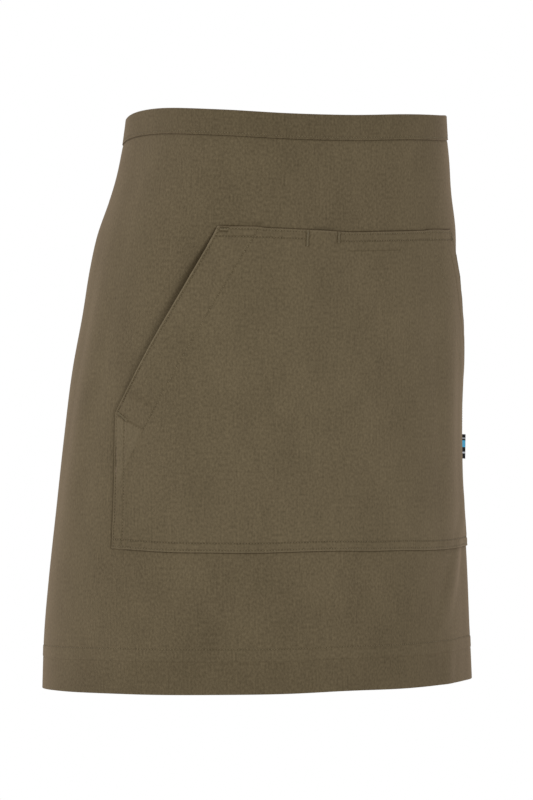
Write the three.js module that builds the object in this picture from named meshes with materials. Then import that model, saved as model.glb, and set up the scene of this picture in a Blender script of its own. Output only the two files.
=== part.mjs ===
// A waist apron in the form that it has when it is worn: a wide skirt panel hung from a folded
// waistband, with a patch pocket on its front, a side label, and ties that close the loop at the back.
// Millimetres, +Z up. The front faces -Y and the wearer's right is -X. The origin is the centre of the
// waist loop, at the middle of the waistband's height.

import * as THREE from 'three';
import { mergeVertices } from 'three/addons/utils/BufferGeometryUtils.js';
import { RoundedBoxGeometry } from 'three/addons/geometries/RoundedBoxGeometry.js';

// Driving dimensions
const apronLength = 502;
const panelWidth = 760;
const clothThickness = 1.2;
const sewnGap = 0.3;

const bandHeight = 23;
const bandLayer = 1;
const bandGap = 0.6;
const bandOverhang = 10;
const bandFold = 0.6;
const panelTuck = 15;

const hemDepth = 38;
const hemThickness = 2.2;
const sideHemWidth = 12;
const sideHemThickness = 2;

const pocketTop = 101;
const pocketBottom = 381;
const pocketTopHalfWidth = 125;
const pocketHalfWidth = 217;
const slantEnd = 261;
const facingAcross = 40;
const pocketGap = 0.6;
const pocketSlack = 1.4;
const slackReach = 30;
const openingGape = 1.7;
const gapeReach = 70;
const turnedThickness = 1.7;

const labelHeight = 22;
const labelLength = 14;
const labelThickness = 1.2;
const labelDrop = 295;
const labelLift = 10;

const tieHeight = 20;
const tieTuck = 8;
const knotWidth = 26;
const knotDepth = 11;
const knotHeight = 24;
const knotRound = 5;
const tieEndLength = 160;
const tieEndSplay = THREE.MathUtils.degToRad(9);

// The form that the cloth hangs in, a row for each level below the waist edge. A squareness of 2 is a
// plain ellipse, and more of it gives a flatter front.
const depthShare = 0.85;
const formLevels = [
  { drop: -5, halfWidth: 139, squareness: 2.5, centreBack: -1.5 },
  { drop: 24, halfWidth: 142, squareness: 2.5, centreBack: 1 },
  { drop: 45, halfWidth: 145.5, squareness: 2.5, centreBack: 3.5 },
  { drop: 70, halfWidth: 150, squareness: 2.45, centreBack: 9.5 },
  { drop: 100, halfWidth: 157, squareness: 2.4, centreBack: 17 },
  { drop: 130, halfWidth: 162.5, squareness: 2.35, centreBack: 23.5 },
  { drop: 170, halfWidth: 168.5, squareness: 2.25, centreBack: 29 },
  { drop: 220, halfWidth: 176, squareness: 2.15, centreBack: 36 },
  { drop: 280, halfWidth: 182.5, squareness: 2.05, centreBack: 43 },
  { drop: 340, halfWidth: 188, squareness: 2, centreBack: 48.5 },
  { drop: 400, halfWidth: 193, squareness: 2, centreBack: 53 },
  { drop: 450, halfWidth: 197, squareness: 2, centreBack: 54.5 },
  { drop: 510, halfWidth: 199.5, squareness: 2, centreBack: 54 },
];

// How far the waist edge and the hem rise above their level at the front, going round to either side. The
// first row mirrors the third, so both edges run level across the front.
const edgeLines = [
  { across: -60, waistRise: 2, hemRise: -1 },
  { across: 0, waistRise: 0, hemRise: 0 },
  { across: 60, waistRise: 2, hemRise: -1 },
  { across: 120, waistRise: 4.5, hemRise: -1.5 },
  { across: 180, waistRise: 7, hemRise: -1.5 },
  { across: 240, waistRise: 5, hemRise: -2.5 },
  { across: 300, waistRise: 1, hemRise: -4 },
  { across: 370, waistRise: -3, hemRise: -6 },
  { across: 440, waistRise: -6.5, hemRise: -7 },
];

// Soft folds that start below a level and lean across as they fall to the hem
const folds = [
  { acrossAtHem: 117, lean: 0.41, halfWidth: 24, height: 2, start: 330 },
  { acrossAtHem: 205, lean: 0.1, halfWidth: 30, height: 2.5, start: 350 },
];

// Smooth curve through one column of a table, against its key column
function alongTable(table, keyName, columnName, key) {
  const last = table.length - 1;
  const change = (name, i) => table[i + 1][name] - table[i][name];
  const slope = (i) => change(columnName, i) / change(keyName, i);
  const tangent = (i) => (slope(Math.max(i - 1, 0)) + slope(Math.min(i, last - 1))) / 2;
  const value = THREE.MathUtils.clamp(key, table[0][keyName], table[last][keyName]);
  let row = 0;
  while (row < last - 1 && table[row + 1][keyName] < value) row += 1;
  const span = change(keyName, row);
  const t = (value - table[row][keyName]) / span;
  const start = table[row][columnName] * (1 + 2 * t) * (1 - t) ** 2;
  const end = table[row + 1][columnName] * (3 - 2 * t) * t ** 2;
  return start + end + span * (tangent(row) * t * (1 - t) ** 2 - tangent(row + 1) * (1 - t) * t ** 2);
}

// One level loop round the form, from the centre of the back by the wearer's right and the front
class LevelLoop extends THREE.Curve {
  constructor(drop) {
    super();
    this.arcLengthDivisions = 720;
    this.halfWidth = alongTable(formLevels, 'drop', 'halfWidth', drop);
    this.halfDepth = this.halfWidth * depthShare;
    this.squareness = alongTable(formLevels, 'drop', 'squareness', drop);
    this.centreBack = alongTable(formLevels, 'drop', 'centreBack', drop);
  }

  getPoint(t, target = new THREE.Vector3()) {
    const angle = (t - 0.5) * 2 * Math.PI;
    const rounded = (value) => Math.sign(value) * Math.abs(value) ** (2 / this.squareness);
    const x = this.halfWidth * rounded(Math.sin(angle));
    const y = this.centreBack - this.halfDepth * rounded(Math.cos(angle));
    return target.set(x, y, 0);
  }
}

const loops = new Map();
function loopAt(drop) {
  if (!loops.has(drop)) loops.set(drop, new LevelLoop(drop));
  return loops.get(drop);
}

function foldOffset(across, drop) {
  let offset = 0;
  for (const fold of folds) {
    const middle = fold.acrossAtHem + fold.lean * (apronLength - drop);
    const nearness = Math.max(0, 1 - ((across - middle) / fold.halfWidth) ** 2);
    offset += fold.height * nearness ** 2 * THREE.MathUtils.smoothstep(drop, fold.start, apronLength);
  }
  return offset;
}

// A point of the worn cloth from its place on the flat cloth: across from the front centre, down from
// the waist edge, and out from the panel's outer face
function wornPoint(across, drop, out) {
  const loop = loopAt(drop);
  const along = 0.5 + across / loop.getLength();
  const point = loop.getPointAt(along);
  const tangent = loop.getTangentAt(along);
  const fall = THREE.MathUtils.clamp(drop / apronLength, 0, 1);
  const waistRise = alongTable(edgeLines, 'across', 'waistRise', Math.abs(across));
  const hemRise = alongTable(edgeLines, 'across', 'hemRise', Math.abs(across));
  const reach = out + foldOffset(across, drop);
  point.x += tangent.y * reach;
  point.y -= tangent.x * reach;
  point.z = bandHeight / 2 - drop + waistRise * (1 - fall) + hemRise * fall;
  return point;
}

// Closed geometry with shared corners, after each vertex has moved to its worn place
function worn(geometry, place) {
  geometry.deleteAttribute('normal');
  geometry.deleteAttribute('uv');
  const position = geometry.attributes.position;
  for (let i = 0; i < position.count; i += 1) {
    const spot = place(position.getX(i), position.getY(i), position.getZ(i));
    position.setXYZ(i, spot.x, spot.y, spot.z);
  }
  const closed = mergeVertices(geometry, 1e-4);
  closed.computeVertexNormals();
  return closed;
}

// A sheet of cloth cut as a grid: place gives a point for a column, a row and the inner or outer face
function wornSheet(columns, rows, place) {
  const flat = new THREE.BoxGeometry(1, 1, 1, columns, rows, 1);
  return worn(flat, (x, y, z) => {
    const column = Math.round((x + 0.5) * columns);
    const row = Math.round((0.5 - y) * rows);
    return place(column, row, z > 0);
  });
}

function spread(from, to, steps) {
  return Array.from({ length: steps + 1 }, (_, i) => from + ((to - from) * i) / steps);
}

const clothMaterial = new THREE.MeshStandardMaterial({ color: 0x62573f, roughness: 0.9, metalness: 0 });
const labelMaterial = new THREE.MeshStandardMaterial({ color: 0x17181b, roughness: 0.7, metalness: 0 });

// Columns of the panel, close together where its side hems start
const halfPanel = panelWidth / 2;
const sideHemInner = halfPanel - sideHemWidth;
const sideStep = 2;
const panelMiddle = spread(-sideHemInner + sideStep, sideHemInner - sideStep, 56);
const panelAcrosses = [-halfPanel, -sideHemInner, ...panelMiddle, sideHemInner, halfPanel];

// Skirt panel: one wall that thickens inward where its hems are turned
function makeSkirtPanel() {
  const hemTop = apronLength - hemDepth;
  const hemStep = 2;
  const body = spread(bandHeight, hemTop - hemStep, 13);
  const drops = [bandHeight - panelTuck, ...body, hemTop, apronLength - hemDepth / 2, apronLength];
  const thicknessAt = (across, drop) => {
    if (drop >= hemTop) return hemThickness;
    return Math.abs(across) >= sideHemInner && drop > bandHeight ? sideHemThickness : clothThickness;
  };
  const geometry = wornSheet(panelAcrosses.length - 1, drops.length - 1, (column, row, outer) => {
    const across = panelAcrosses[column];
    const drop = drops[row];
    return wornPoint(across, drop, outer ? 0 : -thicknessAt(across, drop));
  });
  const mesh = new THREE.Mesh(geometry, clothMaterial);
  mesh.name = 'skirt_panel';
  return mesh;
}

// Waistband: a strip folded over the panel's top edge, so its section is a U that opens downward
function makeWaistband() {
  const outerFace = bandGap + bandLayer;
  const channelInner = -clothThickness - bandGap;
  const innerFace = channelInner - bandLayer;
  const section = new THREE.Shape();
  section.moveTo(outerFace, bandHeight);
  section.lineTo(bandGap, bandHeight);
  section.lineTo(bandGap, bandLayer);
  section.lineTo(channelInner, bandLayer);
  section.lineTo(channelInner, bandHeight);
  section.lineTo(innerFace, bandHeight);
  section.lineTo(innerFace, bandFold);
  section.lineTo(innerFace + bandFold, 0);
  section.lineTo(outerFace - bandFold, 0);
  section.lineTo(outerFace, bandFold);
  const bandEnd = halfPanel + bandOverhang;
  const acrosses = [-bandEnd, ...panelAcrosses, bandEnd];
  const steps = acrosses.length - 1;
  const strip = new THREE.ExtrudeGeometry(section, { depth: steps, steps, bevelEnabled: false });
  const geometry = worn(strip, (out, drop, step) => wornPoint(acrosses[Math.round(step)], drop, out));
  const mesh = new THREE.Mesh(geometry, clothMaterial);
  mesh.name = 'waistband';
  return mesh;
}

function pocketEdge(drop) {
  const slant = THREE.MathUtils.clamp((drop - pocketTop) / (slantEnd - pocketTop), 0, 1);
  return THREE.MathUtils.lerp(pocketTopHalfWidth, pocketHalfWidth, slant);
}

// How far the pocket's cloth stands off the panel: close along its seams, slack between them, and
// lifted along the slanted hand openings
function pocketStandOff(across, drop) {
  const rise = (distance) => THREE.MathUtils.smoothstep(distance, 0, slackReach);
  const sewn = rise(drop - pocketTop) * rise(pocketBottom - drop) * rise(pocketHalfWidth - Math.abs(across));
  const downSlant = THREE.MathUtils.clamp((drop - pocketTop) / (slantEnd - pocketTop), 0, 1);
  const fromEdge = pocketEdge(drop) - Math.abs(across);
  const gape = Math.sin(Math.PI * downSlant) * (1 - THREE.MathUtils.smoothstep(fromEdge, 0, gapeReach));
  return pocketGap + pocketSlack * sewn + openingGape * gape;
}

// Pocket panel: columns follow its slanted and upright edges, and its facings and turned edges are thicker
function makePocketPanel() {
  const edgeInsets = [0, 10, 12, 28, facingAcross, facingAcross + 2, 62];
  const middleSteps = 18;
  const turned = 11;
  const upper = spread(pocketTop + turned, slantEnd, 8);
  const lower = spread(slantEnd, pocketBottom - turned, 5).slice(1);
  const drops = [pocketTop, ...upper, ...lower, pocketBottom];
  const acrossesAt = (drop) => {
    const edge = pocketEdge(drop);
    const rightInsets = edgeInsets.map((inset) => -edge + inset);
    const innermost = edge - edgeInsets[edgeInsets.length - 1];
    const middle = spread(-innermost, innermost, middleSteps).slice(1, -1);
    const leftInsets = edgeInsets.map((inset) => edge - inset).reverse();
    return [...rightInsets, ...middle, ...leftInsets];
  };
  const columns = edgeInsets.length * 2 + middleSteps - 2;
  const thicknessAt = (across, drop) => {
    const inset = pocketEdge(drop) - Math.abs(across);
    const isFacing = drop < slantEnd && inset <= facingAcross;
    const isTurned = drop === pocketTop || drop === pocketBottom || inset < edgeInsets[2];
    return isFacing || isTurned ? turnedThickness : clothThickness;
  };
  const geometry = wornSheet(columns, drops.length - 1, (column, row, outer) => {
    const drop = drops[row];
    const across = acrossesAt(drop)[column];
    const standOff = pocketStandOff(across, drop);
    return wornPoint(across, drop, outer ? standOff + thicknessAt(across, drop) : standOff);
  });
  const mesh = new THREE.Mesh(geometry, clothMaterial);
  mesh.name = 'pocket_panel';
  return mesh;
}

// Side label: a short tab that starts beside the pocket's edge and springs outward
function makeSideLabel() {
  const columns = 4;
  const geometry = wornSheet(columns, 1, (column, row, outer) => {
    const along = column / columns;
    const across = pocketHalfWidth + sewnGap + labelLength * along;
    const drop = labelDrop + (row - 0.5) * labelHeight;
    return wornPoint(across, drop, sewnGap + labelLift * along ** 1.3 + (outer ? labelThickness : 0));
  });
  const mesh = new THREE.Mesh(geometry, labelMaterial);
  mesh.name = 'side_label';
  return mesh;
}

const knotDrop = bandHeight / 2;
const backCentre = wornPoint(loopAt(knotDrop).getLength() / 2, knotDrop, 0);

// Tie: a flat strap from inside the waistband's end, round the back to the knot
function makeTie(name, side) {
  const start = halfPanel + bandOverhang - tieTuck;
  const columns = 5;
  const tieTop = (bandHeight - tieHeight) / 2 + sewnGap;
  const geometry = wornSheet(columns, 1, (column, row, outer) => {
    const drop = tieTop + row * tieHeight;
    const end = loopAt(drop).getLength() / 2 - knotWidth / 2 - sewnGap;
    const along = side > 0 ? column / columns : 1 - column / columns;
    const across = side * THREE.MathUtils.lerp(start, end, along);
    return wornPoint(across, drop, outer ? 0 : -clothThickness);
  });
  const mesh = new THREE.Mesh(geometry, clothMaterial);
  mesh.name = name;
  return mesh;
}

// Knot: one plain rounded piece that closes the loop at the centre of the back
function makeKnot() {
  const block = new RoundedBoxGeometry(knotWidth, knotDepth, knotHeight, 3, knotRound);
  const geometry = worn(block, (x, y, z) => new THREE.Vector3(x, y, z));
  const mesh = new THREE.Mesh(geometry, clothMaterial);
  mesh.name = 'tie_knot';
  mesh.position.copy(backCentre);
  return mesh;
}

// Tie end: a flat strap that hangs from under the knot, splayed to its side
function makeTieEnd(name, side) {
  const strap = new THREE.BoxGeometry(tieHeight, clothThickness, tieEndLength);
  const geometry = worn(strap, (x, y, z) => new THREE.Vector3(x, y, z - tieEndLength / 2));
  const mesh = new THREE.Mesh(geometry, clothMaterial);
  mesh.name = name;
  const behind = side * (clothThickness / 2 + sewnGap);
  const cornerDrop = (tieHeight / 2) * Math.sin(tieEndSplay);
  const underKnot = knotHeight / 2 + sewnGap + cornerDrop;
  mesh.position.set(backCentre.x, backCentre.y + behind, backCentre.z - underKnot);
  mesh.rotation.y = -side * tieEndSplay;
  return mesh;
}

const apron = new THREE.Group();
apron.add(makeSkirtPanel());
apron.add(makeWaistband());
apron.add(makePocketPanel());
apron.add(makeSideLabel());
apron.add(makeTie('tie_right', -1));
apron.add(makeTie('tie_left', 1));
apron.add(makeKnot());
apron.add(makeTieEnd('tie_end_right', -1));
apron.add(makeTieEnd('tie_end_left', 1));

export default apron;
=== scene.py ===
"""A waist apron in its worn form: a skirt panel on a folded waistband, a patch pocket with slanted hand
openings and a pen slot, a side label, ties knotted at the back, and the stitching that holds them."""

import math

import bmesh
import bpy
import numpy as np
from mathutils import Matrix, Vector


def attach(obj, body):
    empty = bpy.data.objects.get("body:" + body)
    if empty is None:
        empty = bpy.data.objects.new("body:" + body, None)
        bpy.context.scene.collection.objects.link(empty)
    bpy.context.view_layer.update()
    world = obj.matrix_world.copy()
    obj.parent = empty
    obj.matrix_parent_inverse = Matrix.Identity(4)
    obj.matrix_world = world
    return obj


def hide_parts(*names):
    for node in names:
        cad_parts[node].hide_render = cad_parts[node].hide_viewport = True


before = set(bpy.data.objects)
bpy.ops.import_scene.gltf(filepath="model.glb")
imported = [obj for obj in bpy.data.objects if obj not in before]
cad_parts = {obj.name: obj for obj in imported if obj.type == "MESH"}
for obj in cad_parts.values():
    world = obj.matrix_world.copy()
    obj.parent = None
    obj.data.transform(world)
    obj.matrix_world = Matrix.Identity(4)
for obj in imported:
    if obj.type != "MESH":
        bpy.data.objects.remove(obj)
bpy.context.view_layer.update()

# Sizes in millimetres. Across is measured round the cloth from the front centre towards the wearer's
# left, drop down from the waist edge, and out off the panel's outer face.
MM = 0.001
APRON_LENGTH = 502.0
PANEL_HALF = 380.0
CLOTH = 0.5
TURN_GAP = 1.1
BAND_HEIGHT = 23.0
BAND_EDGE = 22.0
BAND_HALF = 390.0
BAND_OUT = 1.35
BAND_IN = -2.0
BAND_TURN = 8.0
PANEL_TUCK = 12.0
HEM_DEPTH = 39.0
HEM_TURN = 10.5
SIDE_HEM = 12.0
POCKET_TOP = 101.0
POCKET_BOTTOM = 381.0
POCKET_RIGHT_CORNER = 121.5
POCKET_LEFT_CORNER = 130.0
SLANT_BOW = 4.6
SIDE_BOW = 1.3
POCKET_HALF = 217.0
SLANT_END = 261.0
FACING = 40.0
FACING_END = 318.0
TOP_TURN = 17.0
SIDE_TURN = 14.0
BOTTOM_TURN = 11.0
PEN_SLOT = (-42.0, -12.2)
EDGE_ROW = 1.9
INNER_ROW = 8.0
SIDE_INNER_ROW = 11.0
LABEL_HEIGHT = 22.0
LABEL_LENGTH = 14.0
LABEL_DROP = 294.0
LABEL_LIFT = 9.2
LABEL_LEAN = 1.6
TIE_HEIGHT = 20.0
TIE_THICKNESS = 1.5
TIE_START = 382.0
TIE_END_LENGTH = 166.0
TIE_END_SPLAY = math.radians(9)

# The form that the cloth hangs in: drop, half width, squareness of the level loop, centre back
FORM_LEVELS = np.array([
    (-5, 139, 2.5, -1.5), (24, 142, 2.5, 1), (45, 145.5, 2.5, 3.5), (70, 151, 2.45, 9.5),
    (100, 159, 2.4, 17), (130, 163.5, 2.35, 23.5), (170, 169, 2.25, 29), (220, 176.8, 2.15, 36),
    (280, 183.2, 2.05, 43), (340, 188.7, 2, 48.5), (400, 193.6, 2, 53), (450, 197.4, 2, 54.5),
    (510, 199.5, 2, 54),
])
DEPTH_SHARE = 0.85

# Across, and how far the waist edge and the hem rise there
EDGE_LINES = np.array([
    (-440, -6.5, -8.2), (-370, -4, -7.2), (-300, -2, -5.2), (-270, 0.5, -4.6), (-240, 4.3, -3.9),
    (-215, 6.2, -3.5), (-180, 6.8, -3.2), (-120, 4.2, -2.4), (-60, 0.9, -2.1), (0, 0.3, -1),
    (60, 2.2, -1.6), (120, 3.1, -1.5), (180, 5, -1.5), (240, 1.9, -2.5), (300, -0.3, -4),
    (370, -3.4, -6), (440, -6.5, -7),
])

# Across, and how far the pocket's top and bottom edges rise there
POCKET_EDGES = np.array([
    (-217, 0.4, 3.7), (-205, 0.4, 3.1), (-181, 0.4, 1.9), (-159, 0.4, 1.1), (-121, 0.4, 1),
    (-100, 1, 1), (-75, 1.4, 1.4), (-54, 1.25, 1.85), (-21, 0.2, 1.8), (-4, -0.8, 1.4),
    (27, -0.9, 0.5), (60, -0.9, 0.2), (86, -0.5, -0.8), (126, -0.6, -1.8), (217, -0.6, -2),
])

# Soft folds and swells: across and lean of the crest, half width, drop of the peak, half height, height
SWELLS = (
    (-264, 0.15, 28, 230, 190, 2.2),
    (127, -0.085, 26, 250, 190, 1.8),
    (125, 0, 75, 255, 200, 1.5),
    (205, 0, 38, 385, 75, 2.0),
    (205, 0, 38, APRON_LENGTH, 190, 1.9),
    (150, 0.6, 22, 400, 75, 1.8),
    (128, 0.15, 18, APRON_LENGTH, 60, 1.2),
)


def smooth(value, low, high):
    """0 below low, 1 above high, and a smooth rise between them."""
    t = np.clip((value - low) / (high - low), 0, 1)
    return t * t * (3 - 2 * t)


def bell(value, reach):
    """1 at 0, and close to 0 from twice the reach on."""
    return np.exp(-((value / reach) ** 2))


def join(*parts):
    """Arrays one after another."""
    return np.concatenate(parts)


def along_table(table, column, key):
    """Smooth curve through one column of a table, against its first column."""
    keys, values = table[:, 0], table[:, column]
    slopes = np.diff(values) / np.diff(keys)
    tangents = join(slopes[:1], (slopes[1:] + slopes[:-1]) / 2, slopes[-1:])
    key = np.clip(key, keys[0], keys[-1])
    row = np.clip(np.searchsorted(keys, key, side="right") - 1, 0, len(keys) - 2)
    span = keys[row + 1] - keys[row]
    t = (key - keys[row]) / span
    start = values[row] * (1 + 2 * t) * (1 - t) ** 2
    end = values[row + 1] * (3 - 2 * t) * t ** 2
    turn = tangents[row] * t * (1 - t) ** 2 - tangents[row + 1] * (1 - t) * t ** 2
    return start + end + span * turn


def rounded(value, power):
    """A power that keeps its value's sign, as the level loops' corners need."""
    return np.sign(value) * np.abs(value) ** power


def loop_point(turn, drop):
    """A point of the level loop at a drop, by its turn from the front centre."""
    half_width = along_table(FORM_LEVELS, 1, drop)
    power = 2 / along_table(FORM_LEVELS, 2, drop)
    x = half_width * rounded(np.sin(turn), power)
    y = along_table(FORM_LEVELS, 3, drop) - DEPTH_SHARE * half_width * rounded(np.cos(turn), power)
    return x, y


TURNS = np.linspace(-np.pi, np.pi, 1441)
LEVELS = np.arange(-5.0, 511.0, 2.5)


def loop_lengths(drop):
    """How far across each of the turns lies on the level loop at a drop."""
    x, y = loop_point(TURNS, np.full_like(TURNS, drop))
    length = join([0], np.cumsum(np.hypot(np.diff(x), np.diff(y))))
    return length - length[len(TURNS) // 2]


LOOPS = [loop_lengths(level) for level in LEVELS]


def turn_at(across, drop):
    """The turn from the front centre at which a place on the cloth lies."""
    step = (np.clip(drop, LEVELS[0], LEVELS[-1]) - LEVELS[0]) / (LEVELS[1] - LEVELS[0])
    low = np.minimum(step.astype(int), len(LEVELS) - 2)
    turn = np.empty_like(across)
    for level in np.unique(low):
        here = low == level
        upper = np.interp(across[here], LOOPS[level], TURNS)
        lower = np.interp(across[here], LOOPS[level + 1], TURNS)
        turn[here] = upper + (lower - upper) * (step - low)[here]
    return turn


def sway(across, drop):
    """How far the hanging cloth swings out from the form, in soft folds and slight waves."""
    out = np.zeros_like(across)
    for crest, lean, half_width, peak, half_height, height in SWELLS:
        over_crest = np.clip(1 - ((across - crest - lean * (peak - drop)) / half_width) ** 2, 0, 1)
        over_peak = np.clip(1 - ((drop - peak) / half_height) ** 2, 0, 1)
        out += height * (over_crest * over_peak) ** 2
    hang = smooth(drop, 40, APRON_LENGTH)
    waves = 0.5 * np.sin(across / 29 + np.sin(drop / 85)) + 0.35 * np.sin(across / 47 - drop / 120 + 2)
    return out + hang * waves


def worn(across, drop, out):
    """Points in metres of the worn cloth, from where they lie on the flat cloth."""
    across, drop, out = (np.asarray(v, float) for v in np.broadcast_arrays(across, drop, out))
    turn = turn_at(across, drop)
    x, y = loop_point(turn, drop)
    power = 2 - 2 / along_table(FORM_LEVELS, 2, drop)
    facing_x = rounded(np.sin(turn), power)
    facing_y = -rounded(np.cos(turn), power) / DEPTH_SHARE
    reach = (out + sway(across, drop)) / np.hypot(facing_x, facing_y)
    fall = np.clip(drop / APRON_LENGTH, 0, 1)
    waist_rise = along_table(EDGE_LINES, 1, across)
    hem_rise = along_table(EDGE_LINES, 2, across)
    z = BAND_HEIGHT / 2 - drop + waist_rise * (1 - fall) + hem_rise * fall
    return np.stack((x + facing_x * reach, y + facing_y * reach, z), axis=-1) * MM


# Seams. Each row of stitching is a straight line on the flat cloth: across and drop at its two ends,
# and how hard its thread pulls.
GROOVE_DEPTH = 0.34
GROOVE_REACH = 0.75
PUCKER_HEIGHT = 0.07
PUCKER_REACH = 4.5
# Painted shade along the rows and creases: how dark it is on the line, and how far it reaches
SHADE_DEPTH = 0.7
SHADE_REACH = 0.55

# The puckers along a row: height, length and start of each of the waves that they are made of
PUCKER_WAVES = ((1.0, 0.83, 0.0), (0.6, 1.45, 1.3), (0.6, 3.1, 0.4))


def row_run(line):
    """A row's length, and how far across and down each millimetre of it runs."""
    across, drop = line[2] - line[0], line[3] - line[1]
    length = math.hypot(across, drop)
    return length, across / length, drop / length


def seam_distance(across, drop, line):
    """How far along a seam and how far away from it each place on the cloth lies."""
    length, run, fall = row_run(line)
    across, drop = across - line[0], drop - line[1]
    along = across * run + drop * fall
    beyond = np.maximum(0, np.maximum(-along, along - length))
    return along, np.hypot(drop * run - across * fall, beyond)


def seam_relief(across, drop, lines):
    """Grooves where the thread pulls the cloth in, and the puckers beside them."""
    relief = np.zeros_like(across)
    for line in lines:
        pull = line[4]
        along, away = seam_distance(across, drop, line)
        relief -= pull * GROOVE_DEPTH * bell(away, GROOVE_REACH)
        ripple = sum(height * np.sin(along / length + start) for height, length, start in PUCKER_WAVES)
        relief += pull * PUCKER_HEIGHT * ripple * bell(away, PUCKER_REACH)
    return relief


def seam_shade(across, drop, lines, depth=SHADE_DEPTH, reach=SHADE_REACH):
    """How much darker the cloth is, strongest on a row of stitching and falling to 0 beside it."""
    shade = np.zeros_like(across)
    for line in lines:
        away = seam_distance(across, drop, line)[1]
        shade = np.maximum(shade, depth * line[4] * bell(away, reach))
    return shade


def both_sides(*lines):
    """Lines on the wearer's left, with their mirror images on the right."""
    return [(side * a, b, side * c, d, pull) for a, b, c, d, pull in lines for side in (-1, 1)]


def pocket_edge(across, drop):
    """How far from the front centre the pocket's edge lies, on the side that across is on."""
    on_right = np.asarray(across) < 0
    corner = np.where(on_right, POCKET_RIGHT_CORNER, POCKET_LEFT_CORNER)
    slant = np.clip((drop - POCKET_TOP) / (SLANT_END - POCKET_TOP), 0, 1)
    side = np.clip((drop - SLANT_END) / (POCKET_BOTTOM - SLANT_END), 0, 1)
    bow = SLANT_BOW * np.sin(np.pi * slant ** 0.8)
    bow = bow + np.where(on_right, SIDE_BOW, 0) * np.sin(np.pi * side ** 1.3)
    return corner + (POCKET_HALF - corner) * slant - bow


def edge_rows(inset, drops, pulls):
    """Rows at a distance inside the pocket's two edges, with a pull for each stretch between drops."""
    rows = []
    for side in (-1, 1):
        ends = [(float(side * (pocket_edge(side, drop) - inset)), drop) for drop in drops]
        rows += [(*start, *end, pull) for start, end, pull in zip(ends, ends[1:], pulls)]
    return rows


HEM_LINE = APRON_LENGTH - HEM_DEPTH + 0.3
HEM_RIDGE = HEM_LINE + HEM_TURN
SIDE_LINE = PANEL_HALF - SIDE_HEM + 1.5
SKIRT_LINES = [(-PANEL_HALF, HEM_LINE, PANEL_HALF, HEM_LINE, 0.75)]
SKIRT_LINES += both_sides((SIDE_LINE, BAND_HEIGHT, SIDE_LINE, APRON_LENGTH, 0.8))
SKIRT_CREASES = SKIRT_LINES + [(-PANEL_HALF, HEM_RIDGE, PANEL_HALF, HEM_RIDGE, 0.4)]
BAND_LINE = BAND_EDGE - 2.2
BAND_LINES = [(-BAND_HALF, BAND_LINE, BAND_HALF, BAND_LINE, 0.7)]
BAND_LINES += both_sides((BAND_HALF - 2.5, 2.5, BAND_HALF - 2.5, BAND_LINE, 0.7))

# The pocket's rows along its top and bottom, its sides and its slanted hand openings. Where the pull
# changes along a row, stops are the drops that part it, and pulls are those of its stretches.
ROW_PULLS = {EDGE_ROW: 0.8, INNER_ROW: 1.2}
SIDE_STOPS = (SLANT_END + 1, 276.0, 291.0, 312.0, 335.0, 358.0, POCKET_BOTTOM - EDGE_ROW)
SIDE_PULLS = {EDGE_ROW: (0.6, 0.8, 2.4, 1.5, 1.2, 1.2), SIDE_INNER_ROW: (0.9,) * 6}
SLANT_ROW = 2.7
SLANT_STOPS = np.linspace(POCKET_TOP + 3, SLANT_END - 1, 9)
SLANT_PULLS = (1.0,) * 6 + (1.4, 1.7)

# Each facing's row runs down from the pocket's top to the corner of the facing's foot, which comes to a
# point below. Shares are where the pull changes along the row on the wearer's right.
FACING_TOP = (86.5, POCKET_TOP + EDGE_ROW)
FACING_CORNER = (184.8, 275.0)
FACING_POINT = (200.3, 304.0)
FACING_TACK = (POCKET_HALF - 13.8, SLANT_END + 6.6)
FACING_SHARES = (0.0, 0.42, 0.86, 1.0)
FACING_PULLS = (0.75, 0.35, 0.95)
FACING_LEFT_PULL = 0.1


def sewn_rows():
    """The rows that hold the pocket to the panel, along its top, bottom and sides."""
    rows = []
    for inset, pull in ROW_PULLS.items():
        drop = POCKET_TOP + inset
        rows.append((-POCKET_RIGHT_CORNER, drop, PEN_SLOT[0], drop, pull))
        rows.append((PEN_SLOT[1], drop, POCKET_LEFT_CORNER, drop, pull))
        drop = POCKET_BOTTOM - inset
        rows.append((-POCKET_HALF + EDGE_ROW, drop, POCKET_HALF - EDGE_ROW, drop, pull))
    for inset, pulls in SIDE_PULLS.items():
        rows += edge_rows(inset, SIDE_STOPS, pulls)
    return rows


def facing_rows():
    """The rows that hold the pocket's facings."""
    marks = [
        tuple(a + (b - a) * share for a, b in zip(FACING_TOP, FACING_CORNER)) for share in FACING_SHARES
    ]
    spans = zip(marks, marks[1:], FACING_PULLS)
    rows = [(-start[0], start[1], -end[0], end[1], pull) for start, end, pull in spans]
    return rows + [(*FACING_TOP, *FACING_CORNER, FACING_LEFT_PULL)]


SEAT_LINES = sewn_rows()
POCKET_LINES = SEAT_LINES + facing_rows() + edge_rows(SLANT_ROW, SLANT_STOPS, SLANT_PULLS)

# Tacks: two down the sides of the pen slot, and one at each of the pocket's corners
PEN_TACK_DEPTHS = (14, 10)
PEN_TACKS = [
    (across, POCKET_TOP + 0.5, across, POCKET_TOP + depth, 1.0)
    for across, depth in zip(PEN_SLOT, PEN_TACK_DEPTHS)
]
CORNER_TACKS = [
    (-POCKET_RIGHT_CORNER + 2.5, POCKET_TOP + 2.6, -POCKET_RIGHT_CORNER + 9.5, POCKET_TOP + 2.6, 1.2),
    (POCKET_LEFT_CORNER - 1.5, POCKET_TOP + 1.5, POCKET_LEFT_CORNER - 1.5, POCKET_TOP + 9, 1.0),
] + both_sides((POCKET_HALF - 4, SLANT_END + 0.2, *FACING_TACK, 0.75))

# Pressed creases with no stitches in them, with painted shade along them
FACING_ENDS = both_sides((*FACING_TACK, *FACING_CORNER, 0.8), (*FACING_CORNER, *FACING_POINT, 0.4))
TOP_TURN_LINE = POCKET_TOP + 16.4
TOP_TURN_CREASE = (-3.0, TOP_TURN_LINE, 52.0, TOP_TURN_LINE, 0.6)

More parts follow.
